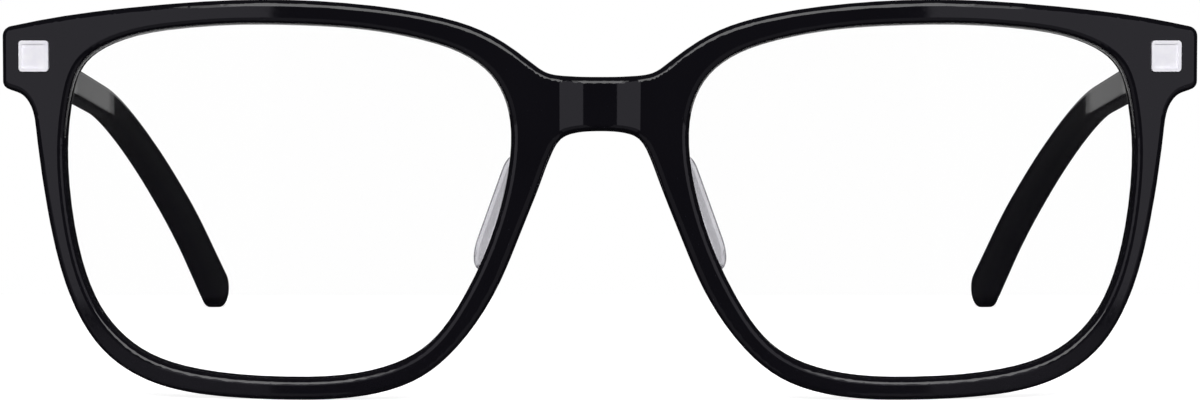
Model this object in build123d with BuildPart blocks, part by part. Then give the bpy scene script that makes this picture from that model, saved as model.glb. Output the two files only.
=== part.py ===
from build123d import *
import os
from math import asin, atan2, cos, degrees, radians, sin, sqrt, tan

# Square eyeglasses: an acetate front with two lenses and two folding temples.
# X runs from the wearer's right to the wearer's left, Y backwards, Z up.
# The rims and the temple tips stand on Z = 0, with the origin under the middle of the whole.

# Lens openings and the rims round them
opening_width = 52.0
opening_height = 40.9
bridge_gap = 20.4
rim_side = 2.2
rim_top = 2.85
rim_bottom = 2.45
front_thickness = 4.0
edge_radius = 0.8

# End pieces, where the hinges are
end_reach = 7.4
end_top = 43.2
end_height = 6.4
end_corner = 1.2
end_lower_corner = 1.0
brow_fall = 11.0
underside_fall = 27.0

# Bridge
bridge_top = 37.3
bridge_height = 6.2
bridge_flat = 4.5
bridge_lift = 0.15
arch_drop = 0.95
arch_drop_share = 0.125

# Plan curve of the front: a rounded bridge, a tight reverse bend and a long arc across each lens
bridge_radius = 12.0
reverse_radius = 3.0
lens_arc_radius = 340.0
bridge_turn = 20.0
lens_turn = 12.0

# Lenses, held in a groove
lens_thickness = 1.6
lens_setback = 1.2
groove_depth = 0.5
lens_bevel = 0.4
lens_clearance = 0.05

# Plaques on the end pieces
plaque_width = 3.6
plaque_height = 3.6
plaque_corner = 0.4
plaque_thickness = 0.45
plaque_recess = 0.3
plaque_border = 0.4
plaque_border_height = 0.15
plaque_inset = 3.9

# Nose pads
pad_lower_radius = 3.3
pad_upper_radius = 2.2
pad_spread = 8.6
pad_thickness = 1.9
pad_round = 0.75
pad_splay = 20.0
pad_tilt = 19.5
pad_x = 11.4
pad_setback = 7.4
pad_z = 21.9
pad_root = 4.0
pad_reach = 12.0

# Hinges: a leaf with three knuckles on the front, a leaf with two on the temple
hinge_z = 39.7
knuckle_radius = 1.3
knuckle_height = 0.95
knuckle_gap = 0.05
pivot_inset = 1.7
pivot_setback = 1.65
leaf_thickness = 1.0
front_leaf_width = 5.6
temple_leaf_length = 9.0
temple_leaf_height = 4.2
leaf_start = 0.5
leaf_proud = 0.05
leaf_corner = 0.6

# Hinge screws
screw_radius = 0.6
screw_clearance = 0.02
screw_head_radius = 1.0
screw_head_height = 0.45
screw_head_chamfer = 0.12
screw_slot_width = 0.3
screw_slot_depth = 0.22

# Rivets of the hinge leaves
rivet_radius = 0.45
rivet_head_radius = 0.7
rivet_head_height = 0.35
front_rivet_spacing = 2.0
temple_rivet_length = 2.3
temple_rivet_first = 3.8
temple_rivet_step = 3.6
temple_rivet_offset = 1.3

# Temples, seen from the side
overall_depth = 140.0
ear_length = 42.1
ear_slope = 41.5
ear_taper = 1.3
tip_radius = 3.0
butt_height = 6.2
butt_level = 3.0
shaft_height = 4.0
shaft_start = 34.0
bend_radius = 95.0
butt_gap = 0.15
taper_radius = 60.0

# Temples, seen from above
temple_outer_inset = 0.5
butt_thickness = 4.0
shaft_thickness = 2.8
butt_length = 13.0
temple_splay = 1.6
curl_length = 40.3
ear_curl = 13.5
curl_radius = 185.0
temple_edge_radius = 0.7

# Core wires inside the temples
wire_thickness = 1.2
wire_height = 1.4
wire_tip_margin = 12.0

# One overrun serves all cuts
overrun = 5.0

# How edges are told apart: by how much they run front to back at their middle
middle_share = 0.5
wall_edge_share = 0.9
long_edge_share = 0.3

# Places that follow from the sizes
half_opening_width = opening_width / 2
half_opening_height = opening_height / 2
lens_x = bridge_gap / 2 + half_opening_width
lens_z = rim_bottom + half_opening_height
half_width = lens_x + half_opening_width + end_reach
front_height = rim_bottom + opening_height + rim_top
front_y = -overall_depth / 2

# The opening's outline, round from the top, as shares of half its box
opening_shares = [
    (0.104, 0.999), (-0.136, 0.991), (-0.386, 0.964), (-0.612, 0.909), (-0.788, 0.831), (-0.913, 0.711),
    (-0.979, 0.556), (-0.998, 0.294), (-0.961, 0.011), (-0.885, -0.282), (-0.771, -0.573), (-0.614, -0.82),
    (-0.372, -0.957), (0.004, -0.997), (0.384, -0.962), (0.658, -0.85), (0.838, -0.632), (0.942, -0.31),
    (0.986, 0.012), (0.997, 0.294), (0.973, 0.579), (0.92, 0.766), (0.758, 0.904), (0.475, 0.977),
]
# The front's upper edge, from the bridge to the end piece, as shares of half the rimmed box
brow_shares = [
    (-1.07, 0.637), (-1.002, 0.69), (-0.881, 0.795), (-0.798, 0.848), (-0.635, 0.912), (-0.312, 0.975),
    (0.084, 1.0), (0.596, 0.967), (1.05, 0.895),
]
# The rim's outer edge below the end piece, down to the lowest point
temporal_shares = [
    (1.109, 0.542), (1.064, 0.475), (1.045, 0.363), (1.018, 0.102), (0.973, -0.204),
    (0.897, -0.508), (0.762, -0.765), (0.573, -0.913), (0.291, -0.985), (0.004, -1.0),
]
# The rim's outer edge from the lowest point up beside the nose
nasal_shares = [
    (-0.307, -0.979), (-0.552, -0.881), (-0.717, -0.704), (-0.881, -0.387),
    (-0.96, -0.153), (-1.044, 0.108), (-1.093, 0.261),
]


def rim_point(share, rim):
    across, up = share
    return (lens_x + across * (half_opening_width + rim_side), lens_z + up * (half_opening_height + rim))


# The plan curve, worked out: where each arc ends, and the slope at an end piece
bridge_end_x = bridge_radius * sin(radians(bridge_turn))
bridge_end_y = bridge_radius * (1 - cos(radians(bridge_turn)))
reverse_end_x = bridge_end_x + reverse_radius * sin(radians(bridge_turn))
reverse_end_y = bridge_end_y + reverse_radius * (1 - cos(radians(bridge_turn)))
plaque_x = half_width - plaque_inset
end_run = plaque_x - reverse_end_x
end_y = front_y + reverse_end_y + lens_arc_radius - sqrt(lens_arc_radius**2 - end_run**2)
end_angle = asin(end_run / lens_arc_radius)

# Planes on an end piece: its face, looking forwards, and the hinge seat, looking backwards
face_plane = Plane(
    origin=(plaque_x, end_y, hinge_z),
    x_dir=(cos(end_angle), sin(end_angle), 0),
    z_dir=(sin(end_angle), -cos(end_angle), 0),
)
seat_x = plaque_x - front_thickness * sin(end_angle)
seat_y = end_y + front_thickness * cos(end_angle)
seat_plane = Plane(
    origin=(seat_x, seat_y, hinge_z),
    x_dir=(-cos(end_angle), -sin(end_angle), 0),
    z_dir=(-sin(end_angle), cos(end_angle), 0),
)


def seat_line(x, gap=0):
    return seat_y + (x - seat_x) * tan(end_angle) + gap / cos(end_angle)


# The hinge pivot, inboard of the temple and behind the seat
temple_outer_x = half_width - temple_outer_inset
temple_inner_x = temple_outer_x - butt_thickness
pivot_x = temple_inner_x - pivot_inset
pivot_y = seat_line(pivot_x, pivot_setback)
hinge_height = 5 * knuckle_height + 4 * knuckle_gap
hinge_bottom = hinge_z - hinge_height / 2
knuckle_pitch = knuckle_height + knuckle_gap


def plan_band(setback, depth):
    """The front's plan curve as a band, set back from its face and as deep as asked."""
    ends = []
    with BuildSketch() as band:
        with BuildLine():
            for back in (setback, setback + depth):
                bridge = JernArc((0, front_y + back), (1, 0), bridge_radius - back, bridge_turn)
                reverse = JernArc(bridge @ 1, bridge % 1, reverse_radius + back, -bridge_turn)
                lens = JernArc(reverse @ 1, reverse % 1, lens_arc_radius - back, lens_turn)
                ends.append(lens @ 1)
            Line(*ends)
            mirror(about=Plane.YZ)
        make_face()
    return band.sketch


def opening_outline(grow=0):
    """One lens opening seen from the front, on the +X side."""
    with BuildSketch() as outline:
        with BuildLine():
            points = [
                (lens_x + across * (half_opening_width + grow), lens_z + up * (half_opening_height + grow))
                for across, up in opening_shares
            ]
            Spline(*points, periodic=True)
        make_face()
    return outline.sketch


def curved_plate(grow, setback, depth):
    """A plate with the lens's outline, curved as the front is."""
    outline = opening_outline(grow)
    band = plan_band(setback, depth)
    with BuildPart() as plate:
        with BuildSketch(Plane.XZ):
            add(outline)
        extrude(amount=overall_depth, both=True)
        with BuildSketch(Plane.XY.offset(-overrun)):
            add(band)
        extrude(amount=front_height + 2 * overrun, mode=Mode.INTERSECT)
    return plate.part


def knuckle_plane(level, turn):
    """The plane at the bottom of one of the five knuckles, centred on the pivot."""
    bottom = hinge_bottom + level * knuckle_pitch
    return Plane((pivot_x, pivot_y, bottom), x_dir=(cos(turn), sin(turn), 0), z_dir=(0, 0, 1))


# Lenses
lens_blank = curved_plate(groove_depth - lens_clearance, lens_setback, lens_thickness)
with BuildPart() as lens_left:
    add(lens_blank)
    chamfer(lens_left.edges().filter_by(GeomType.LINE, reverse=True), length=lens_bevel)
lens_left.part.label = "lens_left"

# Plaques: a plate with a raised border, sunk into the end piece's face
with BuildPart() as end_plaque_left:
    with BuildSketch(face_plane.offset(-plaque_recess)):
        RectangleRounded(plaque_width, plaque_height, plaque_corner)
    extrude(amount=plaque_thickness)
    with BuildSketch(face_plane.offset(plaque_thickness - plaque_recess)):
        RectangleRounded(plaque_width, plaque_height, plaque_corner)
        Rectangle(plaque_width - 2 * plaque_border, plaque_height - 2 * plaque_border, mode=Mode.SUBTRACT)
    extrude(amount=plaque_border_height)
end_plaque_left.part.label = "end_plaque_left"

# Front leaves: a plate sunk in the hinge seat, and three knuckles behind it
leaf_plane = seat_plane.offset(leaf_proud)
pivot_on_seat = leaf_plane.to_local_coords(Vector(pivot_x, pivot_y, hinge_z)).X
with BuildPart() as front_hinge_leaf_left:
    with BuildSketch(leaf_plane.offset(-leaf_thickness)):
        with Locations((pivot_on_seat + knuckle_radius, 0)):
            RectangleRounded(front_leaf_width, hinge_height, leaf_corner, align=(Align.MAX, Align.CENTER))
    extrude(amount=leaf_thickness)
    for level in (0, 2, 4):
        with BuildSketch(knuckle_plane(level, end_angle)):
            Circle(knuckle_radius)
            Rectangle(2 * knuckle_radius, pivot_setback + leaf_thickness / 2, align=(Align.CENTER, Align.MAX))
            Circle(screw_radius + screw_clearance, mode=Mode.SUBTRACT)
        extrude(amount=knuckle_height)
    with BuildSketch(leaf_plane):
        with GridLocations(0, front_rivet_spacing, 1, 2):
            Circle(rivet_radius)
    extrude(amount=-leaf_thickness, mode=Mode.SUBTRACT)
front_hinge_leaf_left.part.label = "front_hinge_leaf_left"

# Front rivets: heads under the plaque, shanks through the acetate and the leaf
with BuildPart() as front_hinge_rivets_left:
    with BuildSketch(face_plane.offset(-plaque_recess)):
        with GridLocations(0, front_rivet_spacing, 1, 2):
            Circle(rivet_head_radius)
    extrude(amount=-rivet_head_height)
    with BuildSketch(leaf_plane):
        with GridLocations(0, front_rivet_spacing, 1, 2):
            Circle(rivet_radius)
    extrude(amount=plaque_recess - front_thickness - leaf_proud)
front_hinge_rivets_left.part.label = "front_hinge_rivets_left"

# Hinge screws: the pivot itself, with a slotted head on the top knuckle
with BuildPart() as hinge_screw_left:
    with BuildSketch(Plane((pivot_x, pivot_y, hinge_bottom))):
        Circle(screw_radius)
    extrude(amount=hinge_height)
    with BuildSketch(Plane((pivot_x, pivot_y, hinge_bottom + hinge_height))):
        Circle(screw_head_radius)
    extrude(amount=screw_head_height)
    chamfer(hinge_screw_left.edges().group_by(Axis.Z)[-1], length=screw_head_chamfer)
    with BuildSketch(Plane((pivot_x, pivot_y, hinge_bottom + hinge_height + screw_head_height))):
        Rectangle(2 * screw_head_radius, screw_slot_width)
    extrude(amount=-screw_slot_depth, mode=Mode.SUBTRACT)
hinge_screw_left.part.label = "hinge_screw_left"

# Nose pads: a clear drop that leans with the side of the nose, cut square to the back of the rim
pad_back = (sin(radians(pad_splay)), cos(radians(pad_splay)), 0)
pad_up = (-sin(radians(pad_tilt)), 0, cos(radians(pad_tilt)))
pad_plane = Plane((pad_x, front_y + pad_setback, pad_z), x_dir=pad_back, z_dir=Vector(*pad_back).cross(Vector(*pad_up)))
pad_room_y = front_y + pad_setback + pad_reach
with BuildSketch() as pad_room:
    with BuildLine():
        bridge_back = JernArc((0, front_y + front_thickness), (1, 0), bridge_radius - front_thickness, bridge_turn)
        reverse_back = JernArc(bridge_back @ 1, bridge_back % 1, reverse_radius + front_thickness, -bridge_turn)
        lens_back = JernArc(reverse_back @ 1, reverse_back % 1, lens_arc_radius - front_thickness, lens_turn)
        Polyline(lens_back @ 1, (half_width, pad_room_y), (0, pad_room_y), bridge_back @ 0)
    make_face()
with BuildPart() as nose_pad_left:
    with BuildSketch(pad_plane):
        for along, radius in ((-pad_spread / 2, pad_lower_radius), (pad_spread / 2, pad_upper_radius)):
            with Locations((0, along), (-pad_root, along)):
                Circle(radius)
        make_hull()
    extrude(amount=pad_thickness / 2, both=True)
    fillet(nose_pad_left.edges(), radius=pad_round)
    with BuildSketch(Plane.XY.offset(-overrun)):
        add(pad_room.sketch)
    extrude(amount=front_height + 2 * overrun, mode=Mode.INTERSECT)
nose_pad_left.part.label = "nose_pad_left"

# Front: the outline through the curved band, less the two openings and their grooves
bridge_bottom = bridge_top - bridge_height
end_bottom = end_top - end_height
brow_end = (half_width - end_corner * (1 - sin(radians(brow_fall))), end_top)
brow_heading = (cos(radians(brow_fall)), -sin(radians(brow_fall)))
side_bottom = (half_width, end_bottom)
groove = curved_plate(groove_depth, lens_setback - lens_clearance, lens_thickness + 2 * lens_clearance)


def is_rim_edge(edge):
    """True for the edges round the front and back faces, not for seams in a wall or a face."""
    seam = edge.geom_type == GeomType.LINE and abs(edge.center().X) < half_width - edge_radius
    return not seam and abs(edge.tangent_at(middle_share).Y) < wall_edge_share


front_band = plan_band(0, front_thickness)
opening = opening_outline()
with BuildPart() as frame_front:
    with BuildSketch(Plane.XZ):
        with BuildLine():
            Spline(
                (0, bridge_top),
                (bridge_flat, bridge_top + bridge_lift),
                *[rim_point(share, rim_top) for share in brow_shares],
                brow_end,
                tangents=((1, 0), brow_heading),
                tangent_scalars=(1, 1),
            )
            upper_corner = JernArc(brow_end, brow_heading, end_corner, brow_fall - 90)
            Line(upper_corner @ 1, side_bottom)
            lower_corner = JernArc(side_bottom, (0, -1), end_lower_corner, underside_fall - 90)
            Spline(
                lower_corner @ 1,
                *[rim_point(share, rim_bottom) for share in temporal_shares + nasal_shares],
                (bridge_flat, bridge_bottom - arch_drop),
                (bridge_flat / 2, bridge_bottom - arch_drop * arch_drop_share),
                (0, bridge_bottom),
                tangents=(lower_corner % 1, (-1, 0)),
                tangent_scalars=(1, 1),
            )
            mirror(about=Plane.YZ)
        make_face()
    extrude(amount=overall_depth, both=True)
    with BuildSketch(Plane.XY.offset(-overrun)):
        add(front_band)
    extrude(amount=front_height + 2 * overrun, mode=Mode.INTERSECT)
    with BuildSketch(Plane.XZ):
        add(opening)
        mirror(about=Plane.YZ)
    extrude(amount=overall_depth, both=True, mode=Mode.SUBTRACT)
    fillet(frame_front.edges().filter_by(is_rim_edge), radius=edge_radius)
    for sunk in (groove, end_plaque_left.part, front_hinge_leaf_left.part, front_hinge_rivets_left.part):
        for solid in sunk.solids():
            add(solid, mode=Mode.SUBTRACT)
            mirror(solid, about=Plane.YZ, mode=Mode.SUBTRACT)
frame_front.part.label = "frame_front"

# Temple outlines, worked out: the middle line's bend, the shaft's slope, and where the edges meet
butt_y = seat_line(temple_inner_x, butt_gap)
tip_y = overall_depth / 2 - tip_radius
tip_z = tip_radius
bend_y = tip_y - ear_length * cos(radians(ear_slope))
bend_z = tip_z + ear_length * sin(radians(ear_slope))
temple_slope = degrees(atan2(hinge_z - bend_z, bend_y - butt_y))
upper_fall = ear_slope - ear_taper
lower_fall = ear_slope + ear_taper


def shaft_point(run, rise):
    """A point beside the shaft's middle line, a run behind the butt."""
    return (butt_y + run, hinge_z - run * tan(radians(temple_slope)) + rise)


def tip_point(angle):
    """A point on the round tip, by its direction above the level."""
    return (tip_y + tip_radius * cos(radians(angle)), tip_z + tip_radius * sin(radians(angle)))


def meeting(first, first_fall, second, second_fall):
    """Where two falling lines cross, each given by a point and its slope."""
    a, b = tan(radians(first_fall)), tan(radians(second_fall))
    y = (second[1] - first[1] + b * second[0] - a * first[0]) / (b - a)
    return (y, first[1] - a * (y - first[0]))


upper_bend = meeting(shaft_point(shaft_start, shaft_height / 2), temple_slope, tip_point(90 - upper_fall), upper_fall)
lower_bend = meeting(shaft_point(shaft_start, -shaft_height / 2), temple_slope, tip_point(-90 - lower_fall), lower_fall)
curl_y = overall_depth / 2 - curl_length
outer_curl = (temple_outer_x + (curl_y - butt_y) * tan(radians(temple_splay)), curl_y)
curl_end_y = overall_depth / 2 + overrun
outer_end = (outer_curl[0] - (curl_end_y - outer_curl[1]) * tan(radians(ear_curl)), curl_end_y)
shaft_inner_x = temple_outer_x + shaft_start * tan(radians(temple_splay)) - shaft_thickness


def is_long_edge(edge):
    """True for the edges along a temple and round its tip, not for seams or the butt."""
    return abs(edge.tangent_at(middle_share).Y) > long_edge_share and edge.center().Y > butt_y + butt_gap


# Temple blank: the side outline crossed with the plan outline, its long edges rounded
with BuildPart() as temple_blank:
    with BuildSketch(Plane.YZ):
        with BuildLine():
            upper = FilletPolyline(
                (butt_y - overrun, hinge_z + butt_height / 2),
                (butt_y + butt_level, hinge_z + butt_height / 2),
                shaft_point(shaft_start, shaft_height / 2),
                upper_bend,
                tip_point(90 - upper_fall),
                radius=(taper_radius, taper_radius, bend_radius + shaft_height / 2),
            )
            lower = FilletPolyline(
                (butt_y - overrun, hinge_z - butt_height / 2),
                (butt_y + butt_level, hinge_z - butt_height / 2),
                shaft_point(shaft_start, -shaft_height / 2),
                lower_bend,
                tip_point(-90 - lower_fall),
                radius=(taper_radius, taper_radius, bend_radius - shaft_height / 2),
            )
            ThreePointArc(tip_point(90 - upper_fall), tip_point(-ear_slope), tip_point(-90 - lower_fall))
            Line(upper @ 0, lower @ 0)
        make_face()
    extrude(amount=half_width + overrun)
    with BuildSketch(Plane.XY.offset(-overrun)):
        with BuildLine():
            outer = FilletPolyline(
                (temple_outer_x, seat_line(temple_outer_x, butt_gap)), outer_curl, outer_end, radius=curl_radius
            )
            inner = FilletPolyline(
                (temple_inner_x, butt_y),
                (temple_inner_x, butt_y + butt_length),
                (shaft_inner_x, butt_y + shaft_start),
                (outer_curl[0] - shaft_thickness, outer_curl[1]),
                (outer_end[0] - shaft_thickness, outer_end[1]),
                radius=(taper_radius, taper_radius, curl_radius - shaft_thickness),
            )
            Line(outer @ 0, inner @ 0)
            Line(outer @ 1, inner @ 1)
        make_face()
    extrude(amount=front_height + 2 * overrun, mode=Mode.INTERSECT)
    fillet(temple_blank.edges().filter_by(is_long_edge), radius=temple_edge_radius)

# Core wires: along the middle of the temple, flush with the butt and short of the tip
wire_end = (
    tip_y - (wire_tip_margin - tip_radius) * cos(radians(ear_slope)),
    tip_z + (wire_tip_margin - tip_radius) * sin(radians(ear_slope)),
)
wire_inset = shaft_thickness / 2
with BuildPart() as temple_core_wire_left:
    with BuildSketch(Plane.YZ):
        with BuildLine():
            FilletPolyline(shaft_point(-overrun, 0), (bend_y, bend_z), wire_end, radius=bend_radius)
        trace(line_width=wire_height)
    extrude(amount=half_width + overrun)
    with BuildSketch(Plane.XY.offset(-overrun)):
        with BuildLine():
            FilletPolyline(
                (temple_outer_x - wire_inset - overrun * tan(radians(temple_splay)), butt_y - overrun),
                (outer_curl[0] - wire_inset, outer_curl[1]),
                (outer_end[0] - wire_inset, outer_end[1]),
                radius=curl_radius - wire_inset,
            )
        trace(line_width=wire_thickness)
    extrude(amount=front_height + 2 * overrun, mode=Mode.INTERSECT)
    add(temple_blank.part, mode=Mode.INTERSECT)
temple_core_wire_left.part.label = "temple_core_wire_left"

# Temple rivets: two pins a side, flush with the leaf
leaf_axis = Plane(
    (temple_inner_x, butt_y + leaf_start, hinge_z),
    x_dir=(0, cos(radians(temple_slope)), -sin(radians(temple_slope))),
    z_dir=(1, 0, 0),
)
rivet_places = [
    (temple_rivet_first, temple_rivet_offset),
    (temple_rivet_first + temple_rivet_step, -temple_rivet_offset),
]
with BuildPart() as temple_hinge_rivets_left:
    with BuildSketch(leaf_axis):
        with Locations(*rivet_places):
            Circle(rivet_head_radius)
    extrude(amount=rivet_head_height)
    with BuildSketch(leaf_axis):
        with Locations(*rivet_places):
            Circle(rivet_radius)
    extrude(amount=temple_rivet_length)
temple_hinge_rivets_left.part.label = "temple_hinge_rivets_left"

# Temple leaves: a plate sunk in the inner face, and two knuckles between the front's three
with BuildPart() as temple_hinge_leaf_left:
    with BuildSketch(leaf_axis):
        RectangleRounded(temple_leaf_length, temple_leaf_height, leaf_corner, align=(Align.MIN, Align.CENTER))
    extrude(amount=leaf_thickness)
    for level in (1, 3):
        with BuildSketch(knuckle_plane(level, 0)):
            Circle(knuckle_radius)
            with Locations((0, knuckle_radius)):
                Rectangle(
                    pivot_inset + leaf_thickness / 2, knuckle_radius + screw_radius, align=(Align.MIN, Align.MAX)
                )
            Circle(screw_radius + screw_clearance, mode=Mode.SUBTRACT)
        extrude(amount=knuckle_height)
    add(temple_hinge_rivets_left.part, mode=Mode.SUBTRACT)
temple_hinge_leaf_left.part.label = "temple_hinge_leaf_left"

# Temples: the blank less what is sunk in it
with BuildPart() as temple_left:
    add(temple_blank.part)
    for sunk in (temple_core_wire_left.part, temple_hinge_leaf_left.part, temple_hinge_rivets_left.part):
        add(sunk, mode=Mode.SUBTRACT)
temple_left.part.label = "temple_left"

# Write each piece, and its mirror image for the wearer's right
left_pieces = [
    lens_left, end_plaque_left, nose_pad_left, front_hinge_leaf_left, front_hinge_rivets_left,
    hinge_screw_left, temple_left, temple_hinge_leaf_left, temple_hinge_rivets_left, temple_core_wire_left,
]
os.makedirs("parts", exist_ok=True)
export_step(frame_front.part, "parts/frame_front.step")
for left_piece in left_pieces:
    name = left_piece.part.label
    export_step(left_piece.part, f"parts/{name}.step")
    with BuildPart() as right_piece:
        mirror(left_piece.part, about=Plane.YZ)
    right_piece.part.label = name.replace("left", "right")
    export_step(right_piece.part, f"parts/{right_piece.part.label}.step")

# What the record needs
print("front width", 2 * half_width, "height", front_height, "depth", overall_depth)
print("pivot", round(pivot_x, 4), round(pivot_y, 4), "hinge z", hinge_z, "end angle", round(degrees(end_angle), 2))
print("seat y at the temple", round(butt_y, 3), "temple box", temple_left.part.bounding_box())
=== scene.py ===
from math import cos, pi, radians, sin

import bpy
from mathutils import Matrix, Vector


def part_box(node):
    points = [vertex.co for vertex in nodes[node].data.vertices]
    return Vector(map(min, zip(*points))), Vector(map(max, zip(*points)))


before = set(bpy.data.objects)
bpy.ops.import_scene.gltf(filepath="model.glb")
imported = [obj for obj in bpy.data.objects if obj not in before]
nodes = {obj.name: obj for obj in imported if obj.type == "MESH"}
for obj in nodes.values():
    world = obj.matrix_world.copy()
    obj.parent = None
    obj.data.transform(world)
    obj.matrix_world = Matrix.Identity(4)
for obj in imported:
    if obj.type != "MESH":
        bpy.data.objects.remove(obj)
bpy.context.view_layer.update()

# Square eyeglasses: materials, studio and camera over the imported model.
# X runs to the wearer's left, Y backwards and Z up, in metres.

mm = 0.001
noiseLow, noiseHigh = 0.3, 0.7   # most of a noise texture's values lie between these
print("frame loaded:", len(nodes), "nodes")


# Helpers

def linearColour(hexText):
    channels = [int(hexText[i:i + 2], 16) / 255 for i in (1, 3, 5)]
    return tuple(c / 12.92 if c <= 0.04045 else ((c + 0.055) / 1.055) ** 2.4 for c in channels) + (1.0,)


def addNode(tree, kind, settings=None, links=None):
    # settings: node properties or socket values; links: socket -> (node, output)
    node = tree.nodes.new(kind)
    for key, value in (settings or {}).items():
        if isinstance(key, int) or key in node.inputs:
            node.inputs[key].default_value = value
        else:
            setattr(node, key, value)
    for key, (source, output) in (links or {}).items():
        tree.links.new(source.outputs[output], node.inputs[key])
    return node


def newMaterial(name):
    material = bpy.data.materials.new(name)
    material.use_nodes = True
    material.node_tree.nodes.clear()
    return material, material.node_tree


def giveMaterial(material, *names):
    for name in names:
        slots = nodes[name].data.materials
        if not slots:
            slots.append(material)
        for i in range(len(slots)):
            slots[i] = material


def clearPiece(tree, glass, tint):
    # shadow rays pass straight through, so the lamps light what lies behind a clear piece
    rays = addNode(tree, "ShaderNodeLightPath")
    clear = addNode(tree, "ShaderNodeBsdfTransparent", {"Color": linearColour(tint)})
    surface = addNode(tree, "ShaderNodeMixShader",
                      links={0: (rays, "Is Shadow Ray"), 1: (glass, "BSDF"), 2: (clear, "BSDF")})
    addNode(tree, "ShaderNodeOutputMaterial", links={"Surface": (surface, "Shader")})


def bothSides(stem):
    return [stem + "_left", stem + "_right"]


def middleOf(name):
    low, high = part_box(name)
    return (Vector(low) + Vector(high)) / 2


# Black acetate: block cellulose acetate, dyed through, milled, tumbled and buffed to a deep gloss

acetate = {
    "colour": "#100f14",       # black with a trace of blue in it
    "clouded": "#151419",      # the pressed sheet is never quite even
    "cloudMm": 11.0, "cloudDetail": 3.0,
    "buffMm": 0.45,            # buffing marks are finer than this, and drawn coarse enough to show
    "buffDetail": 4.0, "buffGrain": 0.6, "buffStretch": (1.0, 0.25, 1.0),
    "roughLow": 0.03,
    "roughHigh": 0.07,
    "rippleMm": 7.0,           # tumbling leaves the flats faintly wavy
    "rippleDetail": 1.0,
    "rippleHeightMm": 0.0015,
    "ior": 1.475,
}
acetateMaterial, tree = newMaterial("buffed black acetate")
place = addNode(tree, "ShaderNodeTexCoord")
cloud = addNode(tree, "ShaderNodeTexNoise", {"Scale": 1 / (acetate["cloudMm"] * mm),
                "Detail": acetate["cloudDetail"]}, {"Vector": (place, "Object")})
colour = addNode(tree, "ShaderNodeMix", {"data_type": "RGBA", 6: linearColour(acetate["colour"]),
                 7: linearColour(acetate["clouded"])}, {0: (cloud, "Fac")})
along = addNode(tree, "ShaderNodeMapping", {"Scale": acetate["buffStretch"]}, {"Vector": (place, "Object")})
buff = addNode(tree, "ShaderNodeTexNoise", {"Scale": 1 / (acetate["buffMm"] * mm),
               "Detail": acetate["buffDetail"], "Roughness": acetate["buffGrain"]},
               {"Vector": (along, "Vector")})
rough = addNode(tree, "ShaderNodeMapRange", {"From Min": noiseLow, "From Max": noiseHigh,
                "To Min": acetate["roughLow"], "To Max": acetate["roughHigh"]}, {"Value": (buff, "Fac")})
ripple = addNode(tree, "ShaderNodeTexNoise", {"Scale": 1 / (acetate["rippleMm"] * mm),
                 "Detail": acetate["rippleDetail"]}, {"Vector": (place, "Object")})
bump = addNode(tree, "ShaderNodeBump", {"Strength": 1.0, "Distance": acetate["rippleHeightMm"] * mm},
               {"Height": (ripple, "Fac")})
surface = addNode(tree, "ShaderNodeBsdfPrincipled", {"IOR": acetate["ior"]},
                  {"Base Color": (colour, 2), "Roughness": (rough, "Result"), "Normal": (bump, "Normal")})
addNode(tree, "ShaderNodeOutputMaterial", links={"Surface": (surface, "BSDF")})
giveMaterial(acetateMaterial, "frame_front", *bothSides("temple"))
print("acetate done")

# Lenses: cast resin demo lenses, hard-coated and anti-reflection coated, so they hardly mirror the room

lens = {
    "colour": "#ffffff",
    "ior": 1.498,
    "coating": "#616164",      # tints the mirror image of the bare lens down to about an eighth
    "wipeMm": 5.0,             # cloth marks
    "wipeDetail": 5.0, "wipeSwirl": 0.6, "wipeLow": 0.4, "wipeHigh": 0.8,
    "roughLow": 0.0,
    "roughHigh": 0.012,
}
lensMaterial, tree = newMaterial("coated cast lens resin")
place = addNode(tree, "ShaderNodeTexCoord")
wipe = addNode(tree, "ShaderNodeTexNoise", {"Scale": 1 / (lens["wipeMm"] * mm), "Detail": lens["wipeDetail"],
               "Distortion": lens["wipeSwirl"]}, {"Vector": (place, "Object")})
rough = addNode(tree, "ShaderNodeMapRange", {"From Min": lens["wipeLow"], "From Max": lens["wipeHigh"],
                "To Min": lens["roughLow"], "To Max": lens["roughHigh"]}, {"Value": (wipe, "Fac")})
glass = addNode(tree, "ShaderNodeBsdfPrincipled", {"Base Color": linearColour(lens["colour"]),
                "IOR": lens["ior"], "Transmission Weight": 1.0,
                "Specular Tint": linearColour(lens["coating"])}, {"Roughness": (rough, "Result")})
clearPiece(tree, glass, lens["colour"])
giveMaterial(lensMaterial, *bothSides("lens"))

# Nose pads: clear acetate drops, cut, tumbled and cemented on, a little milky against the light

pad = {
    "colour": "#eae9ee",
    "milky": "#d6d5da",
    "cloudMm": 2.5, "cloudDetail": 3.0,
    "ior": 1.475,
    "through": 0.8,
    "roughLow": 0.12,
    "roughHigh": 0.24,
    "grainMm": 0.3, "grainDetail": 3.0,
    "grainHeightMm": 0.002,
}
padMaterial, tree = newMaterial("tumbled clear acetate")
place = addNode(tree, "ShaderNodeTexCoord")
cloud = addNode(tree, "ShaderNodeTexNoise", {"Scale": 1 / (pad["cloudMm"] * mm),
                "Detail": pad["cloudDetail"]}, {"Vector": (place, "Object")})
colour = addNode(tree, "ShaderNodeMix", {"data_type": "RGBA", 6: linearColour(pad["colour"]),
                 7: linearColour(pad["milky"])}, {0: (cloud, "Fac")})
grain = addNode(tree, "ShaderNodeTexNoise", {"Scale": 1 / (pad["grainMm"] * mm),
                "Detail": pad["grainDetail"]}, {"Vector": (place, "Object")})
rough = addNode(tree, "ShaderNodeMapRange", {"From Min": noiseLow, "From Max": noiseHigh,
                "To Min": pad["roughLow"], "To Max": pad["roughHigh"]}, {"Value": (grain, "Fac")})
bump = addNode(tree, "ShaderNodeBump", {"Strength": 1.0, "Distance": pad["grainHeightMm"] * mm},
               {"Height": (grain, "Fac")})
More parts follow.
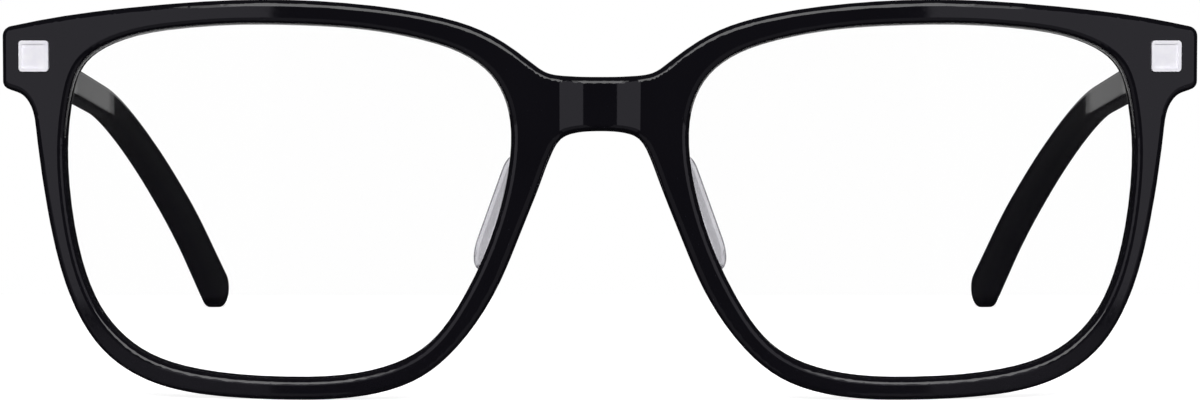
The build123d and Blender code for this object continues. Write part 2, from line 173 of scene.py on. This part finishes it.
glass = addNode(tree, "ShaderNodeBsdfPrincipled", {"IOR": pad["ior"], "Transmission Weight": pad["through"]},
                {"Base Color": (colour, 2), "Roughness": (rough, "Result"), "Normal": (bump, "Normal")})
clearPiece(tree, glass, pad["milky"])
giveMaterial(padMaterial, *bothSides("nose_pad"))
print("lenses and pads done")


# Metals

metal = {"markDetail": 5.0, "markGrain": 0.65, "toneDetail": 2.0}   # what all the metals share


def metalMaterial(name, look, centre=(0, 0, 0), turn=(0, 0, 0)):
    # fine marks stretched along the way the metal was worked, over a slow change of tone
    material, tree = newMaterial(name)
    place = addNode(tree, "ShaderNodeTexCoord")
    centred = addNode(tree, "ShaderNodeMapping", {"vector_type": "TEXTURE", "Location": tuple(centre),
                      "Rotation": turn}, {"Vector": (place, "Object")})
    drawn = addNode(tree, "ShaderNodeMapping", {"Scale": look["stretch"]}, {"Vector": (centred, "Vector")})
    marks = addNode(tree, "ShaderNodeTexNoise", {"Scale": 1 / (look["markMm"] * mm),
                    "Detail": metal["markDetail"], "Roughness": metal["markGrain"]},
                    {"Vector": (drawn, "Vector")})
    tone = addNode(tree, "ShaderNodeTexNoise", {"Scale": 1 / (look["toneMm"] * mm),
                   "Detail": metal["toneDetail"]}, {"Vector": (centred, "Vector")})
    colour = addNode(tree, "ShaderNodeMix", {"data_type": "RGBA", 6: linearColour(look["colour"]),
                     7: linearColour(look["worn"])}, {0: (tone, "Fac")})
    rough = addNode(tree, "ShaderNodeMapRange", {"From Min": noiseLow, "From Max": noiseHigh,
                    "To Min": look["roughLow"], "To Max": look["roughHigh"]}, {"Value": (marks, "Fac")})
    bump = addNode(tree, "ShaderNodeBump", {"Strength": 1.0, "Distance": look["markHeightMm"] * mm},
                   {"Height": (marks, "Fac")})
    surface = addNode(tree, "ShaderNodeBsdfPrincipled", {"Metallic": 1.0},
                      {"Base Color": (colour, 2), "Roughness": (rough, "Result"), "Normal": (bump, "Normal")})
    addNode(tree, "ShaderNodeOutputMaterial", links={"Surface": (surface, "BSDF")})
    return material


# Plaques: bright nickel over brass, the sunk field brushed on the slant
plaque = {
    "colour": "#ffffff", "worn": "#f2f1f7", "toneMm": 1.4,
    "markMm": 0.22, "stretch": (1.0, 1.0, 0.12), "markHeightMm": 0.003,
    "roughLow": 0.7, "roughHigh": 0.85,
    "slant": 35.0,             # degrees, mirrored from side to side
}
for name in bothSides("end_plaque"):
    slant = radians(plaque["slant"] if name.endswith("left") else -plaque["slant"])
    giveMaterial(metalMaterial("brushed nickel " + name, plaque, middleOf(name), (0, slant, 0)), name)

# Hinge leaves: stamped and tumbled nickel silver
leaf = {
    "colour": "#c9c6c0", "worn": "#a9a6a1", "toneMm": 2.0,
    "markMm": 0.3, "stretch": (1.0, 1.0, 1.0), "markHeightMm": 0.004,
    "roughLow": 0.22, "roughHigh": 0.4,
}
leafNames = bothSides("front_hinge_leaf") + bothSides("temple_hinge_leaf")
giveMaterial(metalMaterial("tumbled nickel silver", leaf), *leafNames)

# Rivets: headed pins, ground flush, so their ends are finely scratched
rivet = {
    "colour": "#d2d0cb", "worn": "#b4b1ab", "toneMm": 0.8,
    "markMm": 0.12, "stretch": (1.0, 0.3, 1.0), "markHeightMm": 0.002,
    "roughLow": 0.25, "roughHigh": 0.45,
}
rivetNames = bothSides("front_hinge_rivets") + bothSides("temple_hinge_rivets")
giveMaterial(metalMaterial("ground pin ends", rivet), *rivetNames)

# Screws: turned stainless steel, marked round the axis
screw = {
    "colour": "#bfc0c4", "worn": "#9fa0a5", "toneMm": 1.0,
    "markMm": 0.1, "stretch": (0.25, 0.25, 1.0), "markHeightMm": 0.002,
    "roughLow": 0.18, "roughHigh": 0.32,
}
screwNames = bothSides("hinge_screw")
giveMaterial(metalMaterial("turned stainless steel", screw), *screwNames)

# Core wires: drawn nickel silver, sealed in the acetate
wire = {
    "colour": "#cdc9c1", "worn": "#b3afa6", "toneMm": 3.0,
    "markMm": 0.15, "stretch": (1.0, 0.08, 1.0), "markHeightMm": 0.001,
    "roughLow": 0.2, "roughHigh": 0.3,
}
giveMaterial(metalMaterial("drawn nickel silver", wire), *bothSides("temple_core_wire"))
print("metals done")

# Floor and backdrop: white card, lit plainly, white to the camera and through glass

stage = {
    "colour": "#f2f2f2",
    "floorGlow": 0.87,
    "floorX": 0.36, "floorFrontY": -0.076, "floorBackY": 0.09,   # a small table
    "toothMm": 4.0, "toothDetail": 2.0, "toothHeightMm": 0.02, "toothStrength": 0.1,
    "fillShade": 0.085,      # the room's faint light on the object
    "glossShade": 0.016,     # and what the black gloss mirrors of it
    "firstMirror": 0.5,      # a ray with fewer bounces off gloss than this has met none
}


def cardMaterial(name, glow):
    # the glow shows to the camera, in gloss and through glass only, so it adds no light to the object
    material, tree = newMaterial(name)
    place = addNode(tree, "ShaderNodeTexCoord")
    tooth = addNode(tree, "ShaderNodeTexNoise", {"Scale": 1 / (stage["toothMm"] * mm),
                    "Detail": stage["toothDetail"]}, {"Vector": (place, "Object")})
    bump = addNode(tree, "ShaderNodeBump", {"Strength": stage["toothStrength"],
                   "Distance": stage["toothHeightMm"] * mm}, {"Height": (tooth, "Fac")})
    card = addNode(tree, "ShaderNodeBsdfDiffuse", {"Color": linearColour(stage["colour"])},
                   {"Normal": (bump, "Normal")})
    rays = addNode(tree, "ShaderNodeLightPath")
    seen = addNode(tree, "ShaderNodeMath", {"operation": "MAXIMUM"},
                   {0: (rays, "Is Camera Ray"), 1: (rays, "Is Glossy Ray")})
    seenToo = addNode(tree, "ShaderNodeMath", {"operation": "MAXIMUM"},
                      {0: (seen, 0), 1: (rays, "Is Transmission Ray")})
    strength = addNode(tree, "ShaderNodeMath", {"operation": "MULTIPLY", 1: glow}, {0: (seenToo, 0)})
    light = addNode(tree, "ShaderNodeEmission", {"Color": (1, 1, 1, 1)}, {"Strength": (strength, 0)})
    both = addNode(tree, "ShaderNodeAddShader", links={0: (card, "BSDF"), 1: (light, "Emission")})
    addNode(tree, "ShaderNodeOutputMaterial", links={"Surface": (both, "Shader")})
    return material


bpy.ops.object.select_all(action="DESELECT")
depth = stage["floorBackY"] - stage["floorFrontY"]
bpy.ops.mesh.primitive_plane_add(size=1, location=(0, stage["floorFrontY"] + depth / 2, 0))
floor = bpy.context.object
floor.name = "floor"
floor.scale = (stage["floorX"], depth, 1)
bpy.ops.object.transform_apply(location=True, rotation=True, scale=True)
floor.data.materials.append(cardMaterial("white card floor", stage["floorGlow"]))
floor.visible_glossy = False   # this black gloss was photographed clear of any bright surface

world = bpy.data.worlds.new("studio")
bpy.context.scene.world = world
world.use_nodes = True
tree = world.node_tree
tree.nodes.clear()
rays = addNode(tree, "ShaderNodeLightPath")
unmirrored = addNode(tree, "ShaderNodeMath", {"operation": "LESS_THAN", 1: stage["firstMirror"]},
                     {0: (rays, "Glossy Depth")})
through = addNode(tree, "ShaderNodeMath", {"operation": "MULTIPLY"},
                  {0: (rays, "Is Transmission Ray"), 1: (unmirrored, 0)})
seen = addNode(tree, "ShaderNodeMath", {"operation": "MAXIMUM"},
               {0: (rays, "Is Camera Ray"), 1: (through, 0)})
dim = addNode(tree, "ShaderNodeMapRange", {"To Min": stage["fillShade"], "To Max": stage["glossShade"]},
              {"Value": (rays, "Is Glossy Ray")})
strength = addNode(tree, "ShaderNodeMapRange", {"To Max": 1.0},
                   {"Value": (seen, 0), "To Min": (dim, "Result")})
room = addNode(tree, "ShaderNodeBackground", {"Color": (1, 1, 1, 1)}, {"Strength": (strength, "Result")})
addNode(tree, "ShaderNodeOutputWorld", links={"Surface": (room, "Background")})
print("stage done")

# Lamps: a broad soft box above the camera with a wider one to soften its ends, one at each side with a
# faint bounce under it, faint strips behind that the temples mirror beside the hinges, and two cards
# with "lights", which light the pieces named there alone

lamps = {
    "top front": {"azimuth": 0, "elevation": 40, "distance": 1.1, "width": 0.84, "height": 0.5,
                  "radiance": 3.6, "colour": "#ffffff"},
    "wide top": {"azimuth": 0, "elevation": 40, "distance": 1.1, "width": 1.04, "height": 0.5,
                 "radiance": 1.8, "colour": "#ffffff"},
    "left side": {"azimuth": 36.5, "elevation": 14.5, "distance": 1.2, "width": 0.8, "height": 0.84,
                  "radiance": 0.6, "colour": "#f6f3ff"},
    "right side": {"azimuth": -36.5, "elevation": 14.5, "distance": 1.2, "width": 0.8, "height": 0.84,
                   "radiance": 0.6, "colour": "#f6f3ff"},
    "left low": {"azimuth": 40, "elevation": -28, "distance": 1.2, "width": 1.0, "height": 1.0,
                 "radiance": 0.18, "colour": "#f6f3ff"},
    "right low": {"azimuth": -40, "elevation": -28, "distance": 1.2, "width": 1.0, "height": 1.0,
                  "radiance": 0.18, "colour": "#f6f3ff"},
    "back": {"azimuth": 180, "elevation": 2, "distance": 1.2, "width": 0.15, "height": 0.36,
             "radiance": 0.25, "colour": "#ffffff"},
    "wide back": {"azimuth": 180, "elevation": 2, "distance": 1.2, "width": 0.24, "height": 0.36,
                  "radiance": 0.16, "colour": "#ffffff"},
    "hinge": {"azimuth": 180, "elevation": 35, "distance": 1.0, "width": 1.0, "height": 0.7,
              "radiance": 9.0, "colour": "#ffffff", "lights": leafNames + screwNames + rivetNames},
    "plaque": {"azimuth": 0, "elevation": 15, "distance": 1.0, "width": 0.5, "height": 0.5,
               "radiance": 6.2, "colour": "#ffffff", "lights": bothSides("end_plaque")},
}
target = Vector((0, -0.05, 0.02))   # the point that all the lamps face
for name, lamp in lamps.items():
    azimuth, elevation = radians(lamp["azimuth"]), radians(lamp["elevation"])
    out = Vector((sin(azimuth) * cos(elevation), -cos(azimuth) * cos(elevation), sin(elevation)))
    bpy.ops.object.light_add(type="AREA", location=target + out * lamp["distance"])
    box = bpy.context.object
    box.name = name + " soft box"
    box.rotation_euler = out.to_track_quat("Z", "Y").to_euler()
    box.data.shape = "RECTANGLE"
    box.data.size = lamp["width"]
    box.data.size_y = lamp["height"]
    box.data.color = linearColour(lamp["colour"])[:3]
    box.data.energy = lamp["radiance"] * lamp["width"] * lamp["height"] * pi
    box.visible_camera = False
    box.visible_transmission = False   # so no box shows through a lens
    if "lights" in lamp:
        lit = bpy.data.collections.new("lit by the " + name + " soft box")
        for lightName in lamp["lights"]:
            lit.objects.link(nodes[lightName])
        box.light_linking.receiver_collection = lit
print("lamps done")

# Camera: level with the brow bar, a short distance off, as in the photograph

camera = {
    "distance": 0.35,
    "lowering": 2.6,         # degrees that it looks down
    "aimY": -0.07, "aimZ": 0.02326,
    "lens": 91.875, "sensor": 36.0,
    "clipStart": 0.01,
}
down = radians(camera["lowering"])
bpy.ops.object.camera_add(
    location=(0, camera["aimY"] - camera["distance"] * cos(down),
              camera["aimZ"] + camera["distance"] * sin(down)),
    rotation=(pi / 2 - down, 0, 0),
)
view = bpy.context.object
view.data.sensor_fit = "HORIZONTAL"
view.data.sensor_width = camera["sensor"]
view.data.lens = camera["lens"]
view.data.clip_start = camera["clipStart"]
bpy.context.scene.camera = view
bpy.context.scene.view_settings.view_transform = "Standard"
print("camera done")
